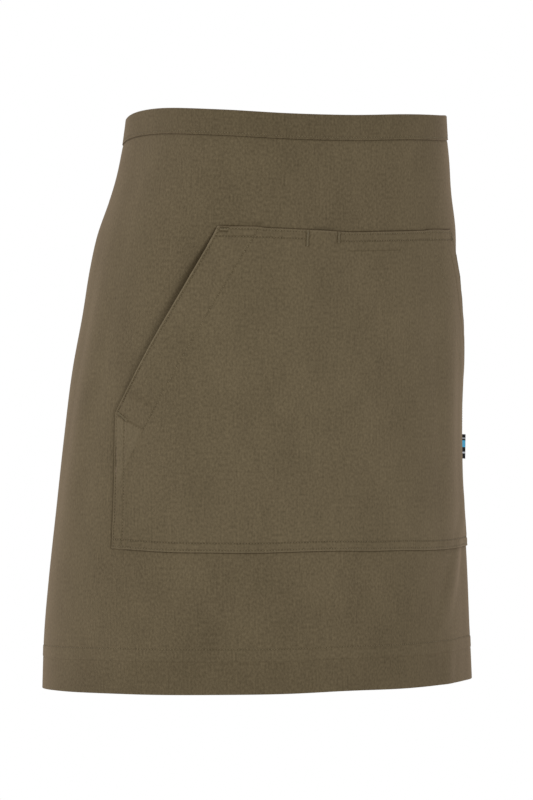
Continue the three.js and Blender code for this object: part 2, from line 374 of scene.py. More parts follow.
# The soft shade over each facing where its foot is folded in
FACING_FOLDS = both_sides((201.5, 243.0, 180.0, 253.0, 0.3))
FOLD_REACH = 2.4

# The grooves on both sides of a tack
TACK_HALF = 1.4
TACK_PULL = 1.3


def tack_groove(tack, shift):
    """The groove beside a tack, which pulls harder than a row does."""
    length = row_run(tack)[0]
    across = -shift * (tack[3] - tack[1]) / length
    drop = shift * (tack[2] - tack[0]) / length
    return (tack[0] + across, tack[1] + drop, tack[2] + across, tack[3] + drop, TACK_PULL * tack[4])


TACKS = PEN_TACKS + CORNER_TACKS
TACK_GROOVES = [tack_groove(tack, shift) for tack in TACKS for shift in (-TACK_HALF, TACK_HALF)]
POCKET_CREASES = POCKET_LINES + TACK_GROOVES + FACING_ENDS + [TOP_TURN_CREASE]
FACING_STEP = 83.5
FACING_HEIGHT = 0.5


def facing_rise(across):
    """How much higher the pocket's top edge lies where the facings thicken it."""
    return FACING_HEIGHT * smooth(np.abs(across), FACING_STEP - 1, FACING_STEP + 1)


def pocket_rise(across, drop):
    """How far the worn pocket's edges and rows rise from where they lie on the flat cloth."""
    near_top = 1 - smooth(drop, POCKET_TOP + 12, POCKET_TOP + 60)
    near_bottom = smooth(drop, POCKET_BOTTOM - 80, POCKET_BOTTOM - 12)
    on_edge = 1 - smooth(drop, POCKET_TOP + 1, POCKET_TOP + 8)
    top = along_table(POCKET_EDGES, 1, across) * near_top
    bottom = along_table(POCKET_EDGES, 2, across) * near_bottom
    return top + bottom + facing_rise(across) * on_edge


def pocket_worn(across, drop, out):
    """Points in metres of the worn pocket, from where they lie on the flat cloth."""
    return worn(across, drop - pocket_rise(across, drop), out)


# Reaches of the painted shade inside the hand openings, round the pocket's sewn edges and under the band
OPENING_REACH = 6.8
OPENING_LEAST_REACH = 5.5
CONTACT_REACH = 2.0
CONTACT_INNER = 0.8
BAND_SHADE = 0.85


def opening_shade(across, drop):
    """Painted shade on the panel inside the hand openings: narrow and deep at the top, wider and
    fainter further down."""
    down = np.clip((drop - POCKET_TOP) / (SLANT_END - POCKET_TOP), 0, 1)
    beyond = np.abs(across) - pocket_edge(across, drop)
    spread = smooth(down, 0.03, 0.24)
    reach = (OPENING_LEAST_REACH + OPENING_REACH * np.sin(np.pi * down ** 0.8)) * (0.35 + 0.65 * spread)
    depth = (1 - 0.45 * smooth(down, 0.1, 0.8)) * (down > 0) * (down < 1)
    return (1 - smooth(beyond, (0.55 - 0.35 * spread) * reach, reach)) * depth


def panel_painted_shade(across, drop):
    """Painted shade on the panel where shade falls: under the band, round the pocket's sewn edges and
    inside its hand openings."""
    inset = pocket_edge(across, np.maximum(drop, SLANT_END)) - np.abs(across)
    reach = np.where(inset > 0, CONTACT_INNER, CONTACT_REACH)
    from_top = drop - POCKET_TOP + pocket_rise(across, POCKET_TOP)
    from_bottom = drop - POCKET_BOTTOM + pocket_rise(across, POCKET_BOTTOM)
    side = bell(inset, reach) * (drop > SLANT_END) * (from_bottom < 0.5)
    within = np.abs(across) < pocket_edge(across, drop)
    top = bell(from_top + 0.8 * facing_rise(across), CONTACT_INNER)
    top = top * (np.abs(across) < pocket_edge(across, POCKET_TOP + 2.0))
    bottom = bell(from_bottom, CONTACT_INNER) * within
    under_band = BAND_SHADE * bell(drop - BAND_EDGE, CONTACT_INNER)
    return np.max((side, opening_shade(across, drop), top, bottom, under_band), axis=0)


SEAM_FILL = 0.7
RIDGE_HEIGHT = 0.35
HEM_SHADE_TOP = 390.0


def skirt_out(across, drop):
    """The skirt's outer face: filled out under the band by the seam inside, its stitched rows, and the
    ridge of the turned edge inside the hem."""
    fill = SEAM_FILL * smooth(drop, 20, 26) * (1 - smooth(drop, 26, 60))
    inside_hem = smooth(drop, HEM_LINE, HEM_LINE + 1)
    ridge = RIDGE_HEIGHT * inside_hem * (1 - smooth(drop, HEM_RIDGE - 1, HEM_RIDGE + 0.5))
    return seam_relief(across, drop, SKIRT_CREASES) + fill + ridge


SEWN_OUT = 1.25
POCKET_SLACK = 1.6
SLANT_GAPE = 4.6
LEFT_GAPE = 0.55
SLOT_GAPE = 2.2


def pocket_out(across, drop):
    """The pocket's outer face: close along its sewn edges, slack between them, lifted along the slanted
    hand openings and at the pen slot, with a ridge where its turned edges end."""
    inset = pocket_edge(across, drop) - np.abs(across)
    from_top = drop - POCKET_TOP
    from_bottom = POCKET_BOTTOM - drop
    from_side = POCKET_HALF - np.abs(across)
    sewn = smooth(from_top, 4, 45) * smooth(from_bottom, 4, 45) * smooth(from_side, 4, 45)
    single = smooth(from_top, TOP_TURN, TOP_TURN + 2) * smooth(from_bottom, BOTTOM_TURN, BOTTOM_TURN + 2)
    single = single * smooth(inset, SIDE_TURN, SIDE_TURN + 2)
    down_slant = np.clip(from_top / (SLANT_END - POCKET_TOP), 0, 1)
    gape = np.sin(np.pi * down_slant ** 0.65) * (1 - smooth(inset, 0, 75))
    slot_middle = (PEN_SLOT[0] + PEN_SLOT[1]) / 2
    slot_half = (PEN_SLOT[1] - PEN_SLOT[0]) / 2
    slot = np.clip(1 - ((across - slot_middle) / slot_half) ** 2, 0, 1) ** 2 * (1 - smooth(from_top, 0, 22))
    crumple = 0.5 * np.sin(across / 23 + drop / 61) * np.sin(drop / 37 - across / 90 + 1)
    out = SEWN_OUT + (POCKET_SLACK + crumple) * sewn - RIDGE_HEIGHT * single
    gape = gape * np.where(across < 0, 1, LEFT_GAPE)
    return out + SLANT_GAPE * gape + SLOT_GAPE * slot + seam_relief(across, drop, POCKET_CREASES)


# Materials
def linear(hex_colour):
    """An sRGB hex colour as linear red, green, blue and alpha."""
    parts = [int(hex_colour[i:i + 2], 16) / 255 for i in (1, 3, 5)]
    return tuple(p / 12.92 if p <= 0.04045 else ((p + 0.055) / 1.055) ** 2.4 for p in parts) + (1.0,)


def set_inputs(tree, node, inputs):
    """Sets a node's inputs, to values or by links from other nodes' outputs."""
    for name, value in inputs.items():
        if isinstance(value, bpy.types.NodeSocket):
            tree.links.new(value, node.inputs[name])
        else:
            node.inputs[name].default_value = value


def add_node(tree, kind, inputs=None, output=0, **settings):
    """Adds a shader node with its settings and inputs, and gives one of its outputs."""
    node = tree.nodes.new("ShaderNode" + kind)
    for name, value in settings.items():
        setattr(node, name, value)
    set_inputs(tree, node, inputs or {})
    return node.outputs[output]


def new_material(name):
    """A new material with its node tree and its shader."""
    material = bpy.data.materials.new(name)
    material.use_nodes = True
    tree = material.node_tree
    return material, tree, tree.nodes["Principled BSDF"]


# Sockets of a colour mix: its share, its two colours and its result
MIX_SHARE, MIX_FIRST, MIX_SECOND, MIX_RESULT = 0, 6, 7, 2


def mix(tree, share, first, second):
    """A mix of two colours, by the share of the second."""
    inputs = {MIX_SHARE: share, MIX_FIRST: first, MIX_SECOND: second}
    return add_node(tree, "Mix", inputs, MIX_RESULT, data_type="RGBA")


def weigh(tree, pattern, weight, base):
    """A pattern times its weight, on top of a base."""
    return add_node(tree, "Math", {0: pattern, 1: weight, 2: base}, operation="MULTIPLY_ADD")


# Painted shade over the band and towards the hem, where less light falls, and how much paler the
# pocket is all over.
CLOTH_DARK = "#4b412e"
CLOTH_LIGHT = "#776a51"
PAINTED_SHADE = "#30240c"
PALE_AND_HIGHLIGHT = "#94876d"
PAINTED_BAND_AND_HEM_SHADE = 0.14
POCKET_PALER = 0.06

# Yarns and twill lines as drawn, slubs in the yarns, and patches of uneven dye, in millimetres
YARN_WIDTH = 1.7
WARP_SLUB = 26.0
WEFT_SLUB = 7.0
DYE_PATCH = (45.0, 70.0)
TWILL_PITCH = 1.3
TWILL_TURN = math.radians(63)

# How far apart the bands of a wave texture are at a scale of 1
WAVE_PITCH = 0.314


def polycotton_twill(name, painted_shading):
    """Matt olive brown polyester and cotton twill, with faint streaks of uneven yarns, and short fibres
    that catch light at a grazing angle. Its yarns of 0.4 mm and twill lines 0.5 mm apart are too fine to
    show, so they are drawn at YARN_WIDTH and TWILL_PITCH. When its shading is painted, the twill is darker
    with painted shade where its seam attribute is above 0, in grooves and creases, round the pocket's
    edges, inside its openings, on the band and towards the hem, and paler where it is below 0, with
    painted highlights on folded edges and a paler pocket."""
    material, tree, surface = new_material(name)
    flat = add_node(tree, "UVMap", uv_map="cloth")

    def streaks(width, length, detail):
        scale = (1 / (width * MM), 1 / (length * MM), 1)
        stretched = add_node(tree, "Mapping", {"Vector": flat, "Scale": scale})
        noise = {"Vector": stretched, "Scale": 1.0, "Detail": detail, "Roughness": 0.6}
        return add_node(tree, "TexNoise", noise, "Fac")

    warp = streaks(YARN_WIDTH, WARP_SLUB, 1)
    weft = streaks(WEFT_SLUB, YARN_WIDTH, 1)
    flecks = streaks(YARN_WIDTH, 1.5 * YARN_WIDTH, 0)
    mottle = streaks(*DYE_PATCH, 3)
    yarns = weigh(tree, weft, 0.6, warp)
    tone = weigh(tree, mottle, 1.4, weigh(tree, flecks, 1.9, yarns))
    share = add_node(tree, "MapRange", {"Value": tone, "From Min": 1.0, "From Max": 3.9}, "Result")
    colour = mix(tree, share, linear(CLOTH_DARK), linear(CLOTH_LIGHT))
    # Painted shade towards a dark colour where the seam attribute is above 0, painted highlights below 0
    if painted_shading:
        seam = add_node(tree, "Attribute", output="Fac", attribute_name="seam")
        for weight, painted_tone in ((0.72, PAINTED_SHADE), (-0.5, PALE_AND_HIGHLIGHT)):
            amount = add_node(tree, "Math", {0: seam, 1: weight}, operation="MULTIPLY", use_clamp=True)
            colour = mix(tree, amount, colour, linear(painted_tone))

    diagonal = add_node(tree, "Mapping", {"Vector": flat, "Rotation": (0, 0, TWILL_TURN)})
    twill = add_node(tree, "TexWave", {
        "Vector": diagonal,
        "Scale": WAVE_PITCH / (TWILL_PITCH * MM),
        "Distortion": 1.5,
        "Detail": 2.0,
        "Detail Scale": 3.0,
    }, "Fac", wave_type="BANDS")
    height = weigh(tree, twill, 0.35, yarns)
    spread = {"Value": yarns, "From Min": 0.6, "From Max": 1.1, "To Min": 0.84, "To Max": 0.94}
    rough = add_node(tree, "MapRange", spread, "Result")
    set_inputs(tree, surface, {
        "Base Color": colour,
        "Roughness": rough,
        "Normal": add_node(tree, "Bump", {"Height": height, "Strength": 0.35, "Distance": 0.35 * MM}),
        "IOR": 1.5,
        "Specular IOR Level": 0.15,
        "Sheen Weight": 0.35,
        "Sheen Roughness": 0.5,
        "Sheen Tint": linear("#f2d3b6"),
    })
    return material


STRAND_LENGTH = 0.9


def spun_thread():
    """Spun polyester sewing thread in the cloth's own colour, with a slight lustre and a twist."""
    material, tree, surface = new_material("olive_spun_thread")
    place = add_node(tree, "TexCoord", output="Object")
    noise = {"Vector": place, "Scale": 1 / (STRAND_LENGTH * MM), "Detail": 1.0}
    strands = add_node(tree, "TexNoise", noise, "Fac")
    set_inputs(tree, surface, {
        "Base Color": mix(tree, strands, linear("#65583d"), linear("#857757")),
        "Normal": add_node(tree, "Bump", {"Height": strands, "Strength": 0.3, "Distance": 0.2 * MM}),
        "Roughness": 0.62,
        "IOR": 1.5,
        "Specular IOR Level": 0.4,
        "Sheen Weight": 0.2,
    })
    return material


# Where each stripe of the label starts, as a share of its height from the bottom, and its colour
LABEL_STRIPES = (
    (0.0, "#0c0c0e"), (0.21, "#c9ccd1"), (0.28, "#0c0c0e"), (0.47, "#56b4dc"), (0.75, "#0c0c0e"),
    (0.81, "#a9adb2"), (0.86, "#0c0c0e"),
)


def label_tape():
    """Black woven damask label tape with plain blue and pale stripes, slightly glossy."""
    material, tree, surface = new_material("black_woven_label_tape")
    flat = add_node(tree, "UVMap", uv_map="cloth")
    stripes = add_node(tree, "ValToRGB", {"Fac": add_node(tree, "SeparateXYZ", {"Vector": flat}, "Y")})
    ramp = stripes.node.color_ramp
    ramp.interpolation = "CONSTANT"
    for start, colour in LABEL_STRIPES[1:]:
        ramp.elements.new(start).color = linear(colour)
    for end in (0, -1):
        ramp.elements[end].color = linear(LABEL_STRIPES[end][1])
    weave = {"Vector": flat, "Scale": 9.0}
    ribs = add_node(tree, "TexWave", weave, "Fac", wave_type="BANDS", bands_direction="Y")
    set_inputs(tree, surface, {
        "Base Color": stripes,
        "Normal": add_node(tree, "Bump", {"Height": ribs, "Strength": 0.3, "Distance": 0.2 * MM}),
        "Roughness": 0.75,
        "IOR": 1.5,
        "Specular IOR Level": 0.2,
    })
    return material


def painted_floor():
    """Matt white painted studio floor, with the faint cloudiness of rolled paint."""
    material, tree, surface = new_material("matt_white_floor_paint")
    place = add_node(tree, "TexCoord", output="Object")
    clouds = add_node(tree, "TexNoise", {"Vector": place, "Scale": 1.5, "Detail": 3.0}, "Fac")
    set_inputs(tree, surface, {
        "Base Color": mix(tree, clouds, linear("#f4f4f4"), linear("#fbfbfb")),
        "Roughness": 0.9,
        "Specular IOR Level": 0.1,
    })
    return material


TWILL = polycotton_twill("olive_polycotton_twill", True)
TWILL_INSIDE = polycotton_twill("olive_polycotton_twill_inside", False)
THREAD = spun_thread()
TAPE = label_tape()


# Cloth pieces
def add_object(name, data):
    """Puts a new object in the scene."""
    item = bpy.data.objects.new(name, data)
    bpy.context.scene.collection.objects.link(item)
    return item


def finish_piece(name, mesh, node=None, material=TWILL):
    """Puts a finished mesh in the scene, on the apron's one body."""
    mesh.materials.append(material)
    mesh.shade_smooth()
    piece = add_object(name, mesh)
    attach(piece, "root")
    if node:
        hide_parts(node)
    return piece


def cloth_mesh(name, columns, rows, place):
    """A grid of cloth. Place takes columns and rows, and gives points in metres, places on the flat
    cloth and seam shades: above 0 for painted shade, below 0 for painted highlights and paler cloth."""
    grid = bmesh.new()
    bmesh.ops.create_grid(grid, x_segments=columns - 1, y_segments=rows - 1, size=1)
    mesh = bpy.data.meshes.new(name)
    grid.to_mesh(mesh)
    grid.free()
    spots = np.empty(len(mesh.vertices) * 3)
    mesh.vertices.foreach_get("co", spots)
    spots = spots.reshape(-1, 3)
    column = np.rint((spots[:, 0] + 1) / 2 * (columns - 1)).astype(int)
    row = np.rint((1 - spots[:, 1]) / 2 * (rows - 1)).astype(int)
    points, flat, seam = place(column, row)
    mesh.vertices.foreach_set("co", points.ravel())
    corners = np.empty(len(mesh.loops), int)
    mesh.loops.foreach_get("vertex_index", corners)
    mesh.uv_layers.new(name="cloth").uv.foreach_set("vector", flat[corners].ravel())
    mesh.attributes.new("seam", "FLOAT", "POINT").data.foreach_set("value", seam)
    mesh.update()
    return mesh


def thicken(piece, thickness=CLOTH, inside=None):
    """Gives cloth its thickness, towards the body, with its own material on the inner face if it has one."""
    wall = piece.modifiers.new("cloth_thickness", "SOLIDIFY")
    wall.thickness = thickness * MM
    wall.offset = -1
    if inside:
        piece.data.materials.append(inside)
        wall.material_offset = 1
    return piece


def turned_edge(edge, depth, count):
    """Places along cloth turned under at an edge, from its inner end round the fold, and how far back
    each lies."""
    bend = TURN_GAP / 2
    inner = np.linspace(edge - depth, edge - bend, count)
    angle = np.radians(np.linspace(-90, 90, 7)[1:])
    places = join(inner, edge - bend + bend * np.cos(angle))
    backs = join(np.full(count, -TURN_GAP), bend * (np.sin(angle) - 1))
    return places, backs


def stops(start, *spans):
    """Places along a line from its start, by the end and the spacing of each span."""
    parts = []
    for end, step in spans:
        parts.append(np.linspace(start, end, max(1, round((end - start) / step)), endpoint=False))
        start = end
    return join(*parts, [start])


def flat_uv(across, drop):
    """Places on the flat cloth in metres, for its weave."""
    return np.stack((across, -drop), axis=-1) * MM


def make_skirt():
    """The skirt panel, with its turned hems at the sides and the bottom."""
    side, side_back = turned_edge(PANEL_HALF, SIDE_HEM, 4)
    hem, hem_back = turned_edge(APRON_LENGTH, HEM_DEPTH + 1, 10)
    half = stops(0, (118, 3.3), (POCKET_HALF - 1, 2.5), (POCKET_HALF + 4, 0.6), (PANEL_HALF - 1.5, 3.3))
    middle = join(-half[:0:-1], half)
    columns = join(-side, middle, side[::-1])
    column_back = join(side_back, np.zeros_like(middle), side_back[::-1])
    body = stops(
        PANEL_TUCK, (20.8, 4), (24.4, 0.6), (POCKET_TOP - 3, 6), (POCKET_TOP + 2, 0.5), (SLANT_END + 2, 4),
        (POCKET_BOTTOM - 4.5, 7), (POCKET_BOTTOM + 3, 0.5), (HEM_LINE - 6, 4.6), (HEM_LINE - 2, 1.3),
        (HEM_LINE + 2, 0.4), (HEM_RIDGE - 2, 1.6), (HEM_RIDGE + 2, 0.5), (APRON_LENGTH - 1.2, 3),
    )
    rows = join(body, hem[::-1])
    row_back = join(np.zeros_like(body), hem_back[::-1])

    def place(column, row):
        across, drop = columns[column], rows[row]
        out = skirt_out(across, drop) + column_back[column] + row_back[row]
        # Painted shade, darker below the pocket and more inside the hem, where less light falls
        below_pocket = smooth(drop, HEM_SHADE_TOP, HEM_LINE)
        below_ridge = smooth(drop, HEM_RIDGE - 1, HEM_RIDGE + 1)
        painted_hem_shade = PAINTED_BAND_AND_HEM_SHADE * (0.5 * below_pocket + 0.6 * below_ridge)
        # Painted shade in the grooves, creases and contact lines
        creases = np.maximum(seam_shade(across, drop, SKIRT_CREASES), panel_painted_shade(across, drop))
        return worn(across, drop, out), flat_uv(across, drop), np.maximum(creases, painted_hem_shade)

    mesh = cloth_mesh("skirt", len(columns), len(rows), place)
    return thicken(finish_piece("skirt", mesh, "skirt_panel"), inside=TWILL_INSIDE)


def make_waistband():
    """The strip folded over the panel's top edge, with both of its own edges turned under."""
    edge, edge_back = turned_edge(BAND_EDGE, BAND_TURN, 3)
    face = stops(4, (17, 3), (21.2, 0.4))
    half = (BAND_OUT - BAND_IN) / 2
    crest = 1.3
    angle = np.radians(np.linspace(0, 180, 13))
    drops = join(edge, face[::-1], crest - crest * np.sin(angle), face, edge[::-1])
    outs = join(
        BAND_IN - edge_back, np.full_like(face, BAND_IN), BAND_IN + half * (1 - np.cos(angle)),
        np.full_like(face, BAND_OUT), BAND_OUT + edge_back[::-1],
    )
    acrosses = np.linspace(-BAND_HALF, BAND_HALF, 300)
    middle = (BAND_OUT + BAND_IN) / 2

    def place(column, row):
        across, drop = acrosses[column], drops[row]
        closing = 1 - 0.25 * smooth(np.abs(across), BAND_HALF - 8, BAND_HALF)
        relief = seam_relief(across, drop, BAND_LINES) * np.sign(outs[row] - middle)
        out = middle + (outs[row] - middle) * closing + relief
        # Painted shade: the band darker all over, where less light falls, and more in its grooves
        shade = np.maximum(seam_shade(across, drop, BAND_LINES), PAINTED_BAND_AND_HEM_SHADE)
        return worn(across, drop, out), flat_uv(across, drop), shade

    mesh = cloth_mesh("band", len(acrosses), len(drops), place)
    return thicken(finish_piece("band", mesh, "waistband"))


def edge_highlight(inset):
    """Painted highlight beside a folded edge, where the fold catches the light: how much paler the cloth is
    there.
    """
    return bell(inset - 0.6, 0.8)


FACING_END_PALER = 0.26


def facing_end_paler(across, drop):
    """How much paler the pocket is over the thick pointed end of a facing, below its tack."""
    across = np.abs(across)
    run = (FACING_CORNER[0] - FACING_POINT[0]) / (FACING_CORNER[1] - FACING_POINT[1])
    inside = across - FACING_CORNER[0] - run * (drop - FACING_CORNER[1])
    fall = (FACING_CORNER[1] - FACING_TACK[1]) / (FACING_CORNER[0] - FACING_TACK[0])
    below = drop - FACING_TACK[1] - fall * (across - FACING_TACK[0])
    return FACING_END_PALER * smooth(inside, -1.5, 3) * smooth(below, 0, 3)


def make_pocket():
    """The patch pocket. Its outer columns follow its edges, with the facings and turned edges behind
    them, and the columns between are spread evenly."""
    turn_steps = 5
    fold, fold_back = turned_edge(0.0, 1.0, turn_steps)
    insets = stops(0.9, (3, 0.5), (9.5, 0.8), (12.5, 0.5), (17, 0.9), (31, 2.6), (41.5, 0.5), (62, 2.6))
    sides = len(fold) + len(insets)
    middle = np.linspace(-1, 1, 162)[1:-1]
    top, top_back = turned_edge(-POCKET_TOP, TOP_TURN, 6)
    bottom, bottom_back = turned_edge(POCKET_BOTTOM, BOTTOM_TURN, 5)
    near_edge = [(3, 0.4), (6.7, 0.75), (9.4, 0.4), (15.2, 1.6), (17.6, 0.5), (22, 1.7)]
    upper = stops(POCKET_TOP + 0.9, *[(POCKET_TOP + end, step) for end, step in near_edge])
    lower = stops(0.9, *near_edge[:3])
    field = stops(POCKET_TOP + 22, (SLANT_END - 4, 4), (SLANT_END + 16, 0.9), (POCKET_BOTTOM - 10, 4))
    body = join(upper, field[1:-1], POCKET_BOTTOM - lower[::-1])
    rows = join(-top, body, bottom[::-1])
    row_back = join(top_back, np.zeros_like(body), bottom_back[::-1])
    columns = 2 * sides + len(middle)

    def place(column, row):
        drop = rows[row]
        side = np.where(column < columns / 2, -1, 1)
        step = np.where(side > 0, columns - 1 - column, column)
        edge = pocket_edge(side, drop)
        fold_step = np.minimum(step, len(fold) - 1)
        depth = FACING + (SIDE_TURN - FACING) * smooth(drop, SLANT_END - 20, FACING_END)
        turned = np.where(step < turn_steps, depth * fold[fold_step] / fold[0], -fold[fold_step])
        inset = np.where(step < len(fold), turned, insets[np.clip(step - len(fold), 0, len(insets) - 1)])
        share = middle[np.clip(column - sides, 0, len(middle) - 1)]
        right_end = -pocket_edge(-1, drop) + insets[-1]
        left_end = pocket_edge(1, drop) - insets[-1]
        between = right_end + (left_end - right_end) * (share + 1) / 2
        across = np.where(step < sides, side * (edge - inset), between)
        back = np.where(step < len(fold), fold_back[fold_step], 0)
        out = pocket_out(across, drop) + back + row_back[row]
        # Painted highlights on the folded edges, where they catch the light, over a paler pocket
        side_share = 0.62 - 0.27 * smooth(drop, SLANT_END - 45, SLANT_END - 10)
        side_highlight = np.where(step < turn_steps, 0, edge_highlight(inset) * side_share)
        top_highlight = 0.5 * edge_highlight(drop - POCKET_TOP) * (row >= len(top))
        bottom_highlight = 0.3 * edge_highlight(POCKET_BOTTOM - drop)
        paler_and_highlight = np.max((side_highlight, top_highlight, bottom_highlight, facing_end_paler(across, drop)), axis=0)
        paler_and_highlight = np.maximum(paler_and_highlight, POCKET_PALER)
        # Painted shade in the grooves, creases and folded facing feet
        folds = seam_shade(across, drop, FACING_FOLDS, 1.0, FOLD_REACH)
        shade = np.maximum(seam_shade(across, drop, POCKET_CREASES), folds)
        return pocket_worn(across, drop, out), flat_uv(across, drop), shade - paler_and_highlight

    mesh = cloth_mesh("pocket", columns, len(rows), place)
    return thicken(finish_piece("pocket", mesh, "pocket_panel"))


def make_label():
    """The folded label, which springs out from the pocket's side seam."""
    tape = 0.35
    steps = 14
    along = join(np.linspace(0, 1, steps), np.linspace(1, 0, steps))
    front = join(np.ones(steps), np.zeros(steps))
    open_gap = 0.9
    rows = np.linspace(-0.5, 0.5, 12)

    def place(column, row):
        t = along[column]
        across = POCKET_HALF + 0.3 + (LABEL_LENGTH - 0.3) * t
        drop = LABEL_DROP + rows[row] * LABEL_HEIGHT
        gap = open_gap * np.clip(1 - t, 0, 1) ** 0.5
        out = 0.5 + (LABEL_LIFT - LABEL_LEAN * rows[row]) * t ** 1.3 + front[column] * gap
        flat = np.stack((t * LABEL_LENGTH / LABEL_HEIGHT, 0.5 - rows[row]), axis=-1)
        return worn(across, drop, out), flat, np.zeros_like(t)

    mesh = cloth_mesh("label", len(along), len(rows), place)
    return thicken(finish_piece("label", mesh, "side_label", TAPE), tape)


# Ties, knot and tie ends, all of one strap folded to TIE_HEIGHT
def strap_outline(face_steps=15, edge_steps=3):
    """Places round a flat folded strap: along its faces, out round its folded edges, and through its
    thickness, each from -1 to 1."""
    face = np.linspace(-1, 1, face_steps)
    turn = np.linspace(0, np.pi, edge_steps + 2)[1:-1]
    flat = np.ones_like(turn)
    along_face = join(face, flat, -face, -flat)
    round_edge = join(0 * face, np.sin(turn), 0 * face, -np.sin(turn))
    through = join(0 * face + 1, np.cos(turn), 0 * face - 1, -np.cos(turn))
    return along_face, round_edge, through


def strap_mesh(name, stations, place):
    """A closed strap. Place takes stations along it and places round its outline, and gives points in
    metres and places on the flat cloth."""
    outline = [np.append(part, part[0]) for part in strap_outline()]

    def put(column, row):
        points, flat = place(stations[row], *[part[column] for part in outline])
        return points, flat, np.zeros(len(points))

    mesh = cloth_mesh(name, len(outline[0]), len(stations), put)
    shell = bmesh.new()
    shell.from_mesh(mesh)
    bmesh.ops.remove_doubles(shell, verts=shell.verts, dist=1e-7)
    bmesh.ops.holes_fill(shell, edges=shell.edges, sides=0)
    bmesh.ops.recalc_face_normals(shell, faces=shell.faces)
    shell.to_mesh(mesh)
    shell.free()
    return mesh


TIE_OUT = -0.3
BACK_CENTRE = loop_lengths(BAND_HEIGHT / 2)[-1]
TIE_STOP = BACK_CENTRE - 9


def tie_gather(at):
    """How far a tie is gathered, from 0 to 1 at the knot."""
    return smooth(at, TIE_STOP - 24, TIE_STOP)


def tie_out(across, drop):
    """The outer face of a tie, which gathers into pleats as it comes to the knot."""
    gather = tie_gather(np.abs(across))
    share = (drop - BAND_HEIGHT / 2) / (TIE_HEIGHT / 2)
    return TIE_OUT + TIE_THICKNESS / 2 + gather * (0.8 + 0.5 * np.cos(3 * np.pi * share))


def make_tie(name, side, node):
    """A tie from inside the waistband's end, round the back to the knot."""
    stations = np.linspace(TIE_START, TIE_STOP, 30)

    def place(at, along_face, round_edge, through):
        gather = tie_gather(at)
        thick = TIE_THICKNESS + 1.6 * gather
        width = TIE_HEIGHT - 7 * gather
        drop = BAND_HEIGHT / 2 + along_face * (width - thick) / 2 + round_edge * thick / 2
        pleats = 0.5 * gather * np.cos(3 * np.pi * along_face)
        return worn(side * at, drop, TIE_OUT + through * thick / 2 + pleats), flat_uv(drop, at)

    return finish_piece(name, strap_mesh(name, stations, place), node)


KNOT_MIDDLE = worn(BACK_CENTRE, BAND_HEIGHT / 2, 0.0)


def at_knot(x, y, z):
    """Points in metres, from where they lie off the knot's middle."""
    return KNOT_MIDDLE + np.stack(np.broadcast_arrays(x, y, z), axis=-1) * MM


WRAP_WIDTH = 13.5
WRAP_THICKNESS = 1.7
WRAP_HALF_DEPTH = 4.1
WRAP_HALF_HEIGHT = 10.2
WRAP_RADIUS = 8.0
LOBE_REACH = 13.4
LOBE_START = 1.5


def make_knot():
    """Two gathered lobes, where the ties come in, and the strap that is wrapped round them."""

    def wrap(angle, along_face, round_edge, through):
        width = WRAP_WIDTH - 3 * np.sin(angle) ** 2
        half_thick = WRAP_THICKNESS / 2
        x = along_face * (width - WRAP_THICKNESS) / 2 + round_edge * half_thick + 2.2 * np.sin(angle)
        lift = through * half_thick + 0.35 * np.cos(2.5 * np.pi * along_face + 2 * np.sin(angle))
        y = rounded(np.cos(angle), 0.8)
        z = rounded(np.sin(angle), 0.8)
        lean = np.hypot(y / WRAP_HALF_DEPTH, z / WRAP_HALF_HEIGHT)
        back = WRAP_HALF_DEPTH * y + lift * y / WRAP_HALF_DEPTH / lean
        up = WRAP_HALF_HEIGHT * z + lift * z / WRAP_HALF_HEIGHT / lean
        return at_knot(x, back, up), flat_uv(x, -angle * WRAP_RADIUS)

    def lobe(at, along_face, round_edge, through):
        side = np.sign(at)
        swell = np.sin(np.pi * np.clip((LOBE_REACH - np.abs(at)) / 15, 0, 1)) ** 0.7
        thick = 3.2 + 4.4 * swell
        width = 13 + 6 * swell
        z = along_face * (width - thick) / 2 + round_edge * thick / 2 - side * 0.16 * (13 - np.abs(at))
        crown = 1 - 0.3 * along_face ** 2
        pleats = 0.45 * np.cos(3 * np.pi * along_face + 0.15 * at) * np.abs(through)
        y = through * (thick / 2 * crown + pleats)
        return at_knot(at, y, z), flat_uv(z, -at)

    parts = [
        strap_mesh("knot_wrap", np.linspace(-np.pi, np.pi, 49), wrap),
        strap_mesh("knot_right", np.linspace(-LOBE_REACH, -LOBE_START, 16), lobe),
        strap_mesh("knot_left", np.linspace(LOBE_REACH, LOBE_START, 16), lobe),
    ]
    joined = bmesh.new()
    for part in parts:
        joined.from_mesh(part)
        bpy.data.meshes.remove(part)
    mesh = bpy.data.meshes.new("knot")
    joined.to_mesh(mesh)
    joined.free()
    return finish_piece("knot", mesh, "tie_knot")


def hanging(side):
    """Where the cloth of a hanging tie end lies, by its place across the strap, along it and out."""

    def place(across, along, out):
        across, along, out = np.broadcast_arrays(across, along, out)
        twist = 0.22 * np.sin(along / 52 + side)
        x = side * (2.5 + 1.6 * np.sin(along / 34)) + math.sin(TIE_END_SPLAY) * side * along
        y = side * 1.3 + 1.3 * np.sin(along / 29 + side) * smooth(along, 8, 60) + across * np.sin(twist)
        z = -7 - math.cos(TIE_END_SPLAY) * along + across * math.sin(TIE_END_SPLAY) * side
        return at_knot(x + across * np.cos(twist) - out * np.sin(twist), y + out * np.cos(twist), z)

    return place


def end_gather(along):
    """How far a tie end is gathered, from 1 under the knot to 0."""
    return 1 - smooth(along, 6, 40)


def end_thickness(along):
    """How thick a tie end is, with its gathers and its turned end."""
    hemmed = smooth(along, TIE_END_LENGTH - 9, TIE_END_LENGTH - 8)
    return TIE_THICKNESS + 2.2 * end_gather(along) + 0.6 * hemmed


